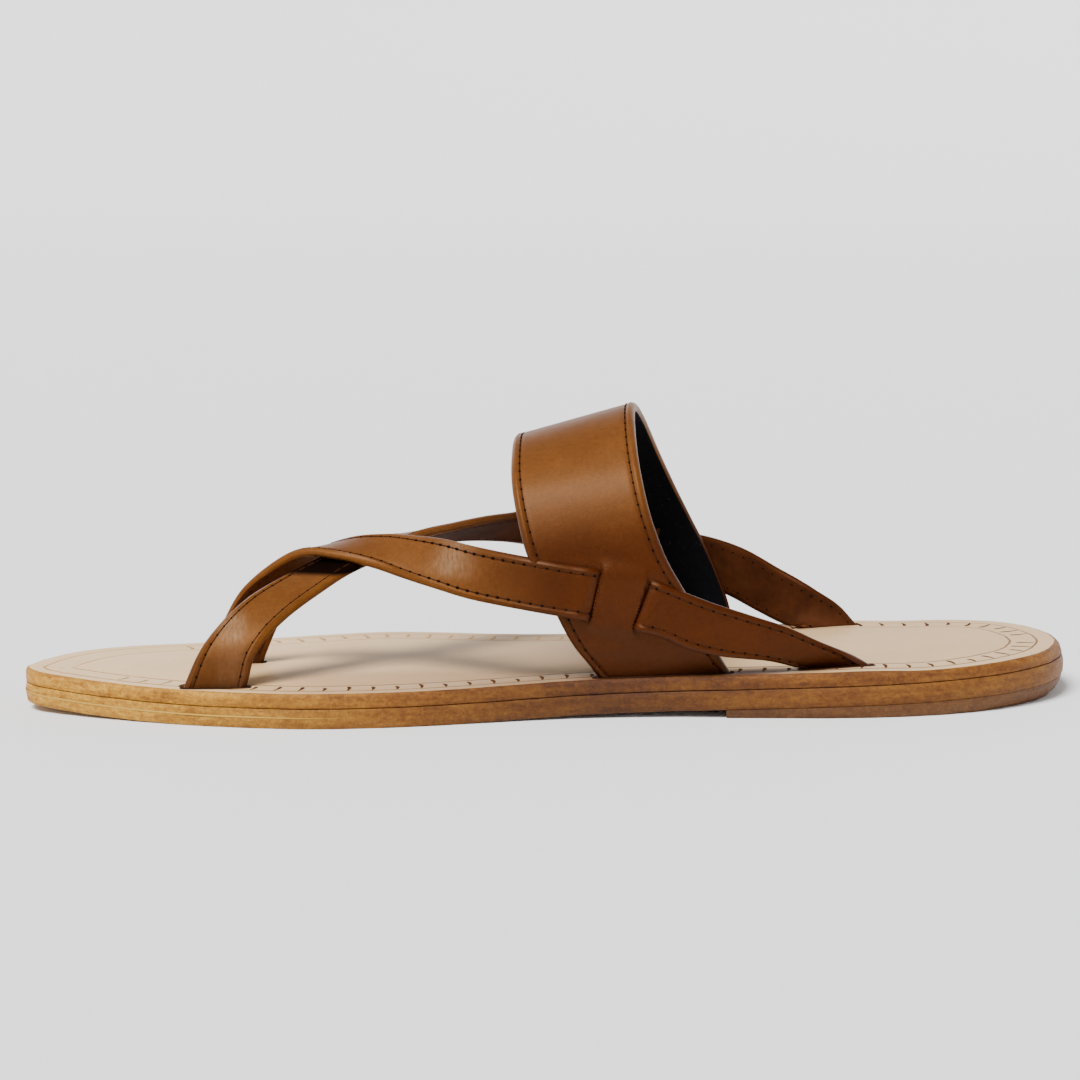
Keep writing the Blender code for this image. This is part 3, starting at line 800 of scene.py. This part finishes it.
def stitch_marks(line, width, thick, inset, ends, face=1, skip=None):
    """Marks along both edges of a wall; face is 1 on its outer side and -1 on its inner side."""
    marks = []
    for edge in (-1, 1):
        path = line.middle + line.across * (edge * (width / 2 - inset))
        path = path + line.normal * (face * (thick / 2 - STITCH_SINK))
        walked = travelled(path)
        for at in np.arange(ends, walked[-1] - ends, PITCH):
            place = point_at(path, walked, at)
            along = point_at(path, walked, at + TANGENT_REACH) - point_at(path, walked, at - TANGENT_REACH)
            along /= np.linalg.norm(along)
            out = point_at(line.normal, walked, at) * face
            out -= along * (out @ along)
            out /= np.linalg.norm(out)
            if skip is None or not skip(place):
                marks.append((place, along, out))
    return marks


stitches("band", stitch_marks(band_line, BAND_WIDTH, BAND_THICK, BAND_SEAM, BAND_ENDS), BAND_THREAD)
strap_marks = []
for line in (toe_line, side_line):
    for face in (1, -1):
        strap_marks += stitch_marks(line, STRAP_WIDTH, STRAP_THICK, STRAP_SEAM, STRAP_ENDS, face, under_bridge)
stitches("strap", strap_marks, STRAP_THREAD, stretched_holes)


# Scored lines and slashes of the insole's border, and the slots of the straps
SLASH_OUTER, SLASH_INNER = 5.3 * MM, 11.2 * MM
SLASH_STARTS = 0.072, 0.11
SLASH_LAST, SLASH_SAMPLES = 0.9985, 1200
SLASH_PITCH, SLASH_SLANT = 6.3 * MM, 0.4 * MM
SLASH_FROM_START, SLASH_FROM_END = 3 * MM, 2.6 * MM
SLASH_BEND, SLASH_HALF, SLASH_TIP, SLASH_SHORTER = 0.35 * MM, 0.72 * MM, 0.30, 0.14
SLASH_POINTS = 9
FAINT_BEFORE, FAR_FAINT_BEFORE = -95 * MM, 60 * MM
SCORED_SPANS = (0.02, 0.17), (0.80, 0.985)
SCORE_HALF, SCORE_SINK, SCORE_POINTS = 0.13 * MM, 0.06 * MM, 90
SLASH_RISE, SLOT_RISE = 0.03 * MM, 0.05 * MM
SLOT_STEPS, SLOT_BLUNT, DENT_BLUNT = 26, 5, 2
SLOT_SHIFT, SLOT_WIDER, SLOT_DEEPER = 0.5 * MM, 0.9 * MM, 1.3 * MM
DENT_WIDE, DENT_DEEP, DENT_ASIDE = 3.8 * MM, 4.2 * MM, 1.8 * MM
SEAM_END, SEAM_FADE, SEAM_POINTS = 0.33, 0.75, 160
SEAM_OUT, SEAM_HALF = 0.13 * MM, 0.20 * MM


def resting(point, above):
    return (point[0], point[1], float(insole_top(point[0])) + above)


def path_along(side, inset, start, end, count):
    """Points along the insole's edge between two shares of its length."""
    turns = np.linspace(turn_at(start), turn_at(end), count)
    return edge_points(turns, side, inset + BORDER_HEEL * heel_share(turns))


def slash_mesh():
    """Slashes across the border, wider at the inner end, evenly spaced from the back of the heel."""
    verts, faces, slots = [], [], []
    for side in (0, 1):
        outer = path_along(side, SLASH_OUTER, SLASH_STARTS[side], SLASH_LAST, SLASH_SAMPLES)
        inner = path_along(side, SLASH_INNER, SLASH_STARTS[side], SLASH_LAST, SLASH_SAMPLES)
        walked = travelled(outer)
        for n, at in enumerate(np.arange(walked[-1] - SLASH_FROM_END, SLASH_FROM_START, -SLASH_PITCH)):
            a = point_at(outer, walked, at)
            b = point_at(inner, walked, at + SLASH_SLANT)
            b = a + (b - a) * (1 - SLASH_SHORTER + SLASH_SHORTER * math.sin(n * 2.3))
            run = (b - a) / np.linalg.norm(b - a)
            flank = np.array([-run[1], run[0]])
            faces += strip_faces(len(verts), SLASH_POINTS - 1)
            for t in np.arange(SLASH_POINTS) / (SLASH_POINTS - 1):
                bend = SLASH_BEND * math.sin(math.pi * t) * (1 if side else -1)
                half = SLASH_HALF * (SLASH_TIP + (1 - SLASH_TIP) * t) * (1 - t ** 6) ** 0.5
                for s in (-1, 1):
                    verts.append(resting(a + (b - a) * t + flank * (bend + half * s), SLASH_RISE))
            faint = a[0] < (FAR_FAINT_BEFORE if side else FAINT_BEFORE)
            slots += [int(faint)] * (SLASH_POINTS - 1)
    return add_mesh("insole_slashes", verts, faces, [CUT, FAINT], slots)


def score_mesh():
    """Lines scored on both sides of the slashes, at the toe and round the heel."""
    verts, faces = [], []
    for start, end in SCORED_SPANS:
        for side in (0, 1):
            for inset in SCORE_INSETS:
                first = start + inset / LENGTH / 2
                outer = path_along(side, inset - SCORE_HALF, first, end, SCORE_POINTS)
                inner = path_along(side, inset + SCORE_HALF, first, end, SCORE_POINTS)
                faces += strip_faces(len(verts), SCORE_POINTS - 1)
                for a, b in zip(outer, inner):
                    verts += [resting(a, -SCORE_SINK), resting(b, -SCORE_SINK)]
    return add_mesh("insole_scored_lines", verts, faces, [SCORE])


def slot_shade_mesh():
    """Painted shade in the slots round the feet of the band and straps, and a dark patch beside the side
    strap's near foot for the ragged edge of a dent there and its painted shade.
    """
    verts, faces, slots = [], [], []

    def opening(centre, along, aside, wide, deep, blunt, slot):
        faces.extend((a, d, c, b) for a, b, c, d in strip_faces(len(verts), SLOT_STEPS))
        slots.extend([slot] * SLOT_STEPS)
        for k in range(SLOT_STEPS + 1):
            t = -math.cos(math.pi * k / SLOT_STEPS)
            half = deep * max(1 - abs(t) ** blunt, 0) ** (1 / blunt)
            for s in (-1, 1):
                verts.append(resting(centre + along * (t * wide) + aside * (s * half), SLOT_RISE))

    for line, width, thick in ((band_line, BAND_WIDTH, BAND_THICK), (toe_line, STRAP_WIDTH, STRAP_THICK),
                               (side_line, STRAP_WIDTH, STRAP_THICK)):
        clear = line.middle[:, 2] > insole_top(line.middle[:, 0])
        for i in (int(np.argmax(clear)), len(clear) - 1 - int(np.argmax(clear[::-1]))):
            foot, normal = line.middle[i], line.normal[i]
            opening(foot + normal * SLOT_SHIFT, line.across[i], normal, width / 2 + SLOT_WIDER,
                    thick / 2 + SLOT_DEEPER, SLOT_BLUNT, 0)
            # A dark patch: the dent's ragged edge and its painted shade.
            if line is side_line and foot[1] < 0:
                beside = foot + np.array([SLOT_WIDER - STRAP_WIDTH / 2, DENT_ASIDE, 0])
                opening(beside, np.array([1, 0, 0]), np.array([0, 1, 0]), DENT_WIDE, DENT_DEEP, DENT_BLUNT, 1)
    return add_mesh("insole_slot_shade", verts, faces, [SLOT_SHADE, CUT], slots)


def seam_mesh():
    """The pale line between midsole and outsole, near the toe."""
    verts, faces = [], []
    for side in (0, 1):
        turns = np.linspace(0, turn_at(SEAM_END), SEAM_POINTS)
        halves = SEAM_HALF * (1 - ease(turns, turns[-1] * SEAM_FADE, turns[-1]))
        faces += strip_faces(len(verts), SEAM_POINTS - 1)
        for (x, y), half in zip(edge_points(turns, side, -SEAM_OUT), halves):
            centre = float(midsole_bottom(x)) - SEAM_HALF
            verts += [(x, y, centre - half), (x, y, centre + half)]
    return add_mesh("sole_seam_line", verts, faces, [PALE])


show(seam_mesh(), "sole_leather")
show(slash_mesh(), "natural_leather")
show(score_mesh(), "natural_leather")
show(slot_shade_mesh(), "natural_leather")


# Floor
FLOOR_PROFILE = [(2.5, 0.0), (2.9, 0.05), (3.3, 0.25), (3.8, 0.75), (5.5, 2.6)]
FLOOR_SIDES = 48


def floor_mesh():
    """A round floor in metres that curves up at its rim."""
    verts, faces = [(0, 0, 0)], []
    for radius, height in FLOOR_PROFILE:
        for k in range(FLOOR_SIDES):
            angle = 2 * math.pi * k / FLOOR_SIDES
            verts.append((radius * math.cos(angle), radius * math.sin(angle), height))
    for k in range(FLOOR_SIDES):
        faces.append((0, 1 + k, 1 + (k + 1) % FLOOR_SIDES))
        for level in range(len(FLOOR_PROFILE) - 1):
            a, b = (1 + level * FLOOR_SIDES + i for i in (k, (k + 1) % FLOOR_SIDES))
            faces.append((a, a + FLOOR_SIDES, b + FLOOR_SIDES, b))
    return add_mesh("floor", verts, faces, [Material("pale floor", (0.90, 0.90, 0.90), 0.9).data])


floor = floor_mesh()


# Light
SKY_STRENGTH, SUN_STRENGTH, SUN_SPREAD = 0.30, 6.0, math.radians(28)
SUN_FROM = np.array([-0.34, -0.44, 0.86])


def facing(right, up, back, place):
    """A lamp's or camera's matrix: what it looks along is the opposite of back."""
    return Matrix([[right[i], up[i], back[i], place[i]] for i in range(3)] + [[0, 0, 0, 1]])


world = bpy.data.worlds.new("studio")
bpy.context.scene.world = world
world.use_nodes = True
world.node_tree.nodes["Background"].inputs["Color"].default_value = (1, 1, 1, 1)
world.node_tree.nodes["Background"].inputs["Strength"].default_value = SKY_STRENGTH

sun_data = bpy.data.lights.new("soft key light", "SUN")
sun_data.energy = SUN_STRENGTH
sun_data.angle = SUN_SPREAD
sun = bpy.data.objects.new("soft key light", sun_data)
bpy.context.scene.collection.objects.link(sun)
sun_back = SUN_FROM / np.linalg.norm(SUN_FROM)
sun_right = np.cross((0, 0, 1), sun_back)
sun_right /= np.linalg.norm(sun_right)
sun.matrix_world = facing(sun_right, np.cross(sun_back, sun_right), sun_back, sun_back)


# Camera at the photograph's angle
LENS, SENSOR, ROLL = 114.0, 36.0, math.radians(-0.6)
DEPRESSION, DISTANCE = math.radians(7.9), 900 * MM
AIM = np.array([-1.85, -6.5, 42]) * MM
CLIP_START, CLIP_END = 0.01, 50

forward = np.array([0, math.cos(DEPRESSION), -math.sin(DEPRESSION)])
level = np.array([1.0, 0, 0])
upright = np.cross(level, forward)
right = level * math.cos(ROLL) + upright * math.sin(ROLL)
up = upright * math.cos(ROLL) - level * math.sin(ROLL)
camera_data = bpy.data.cameras.new("camera")
camera_data.lens = LENS
camera_data.sensor_width = SENSOR
camera_data.clip_start = CLIP_START
camera_data.clip_end = CLIP_END
camera = bpy.data.objects.new("camera", camera_data)
bpy.context.scene.collection.objects.link(camera)
camera.matrix_world = facing(right, up, -forward, AIM - forward * DISTANCE)
bpy.context.scene.camera = camera
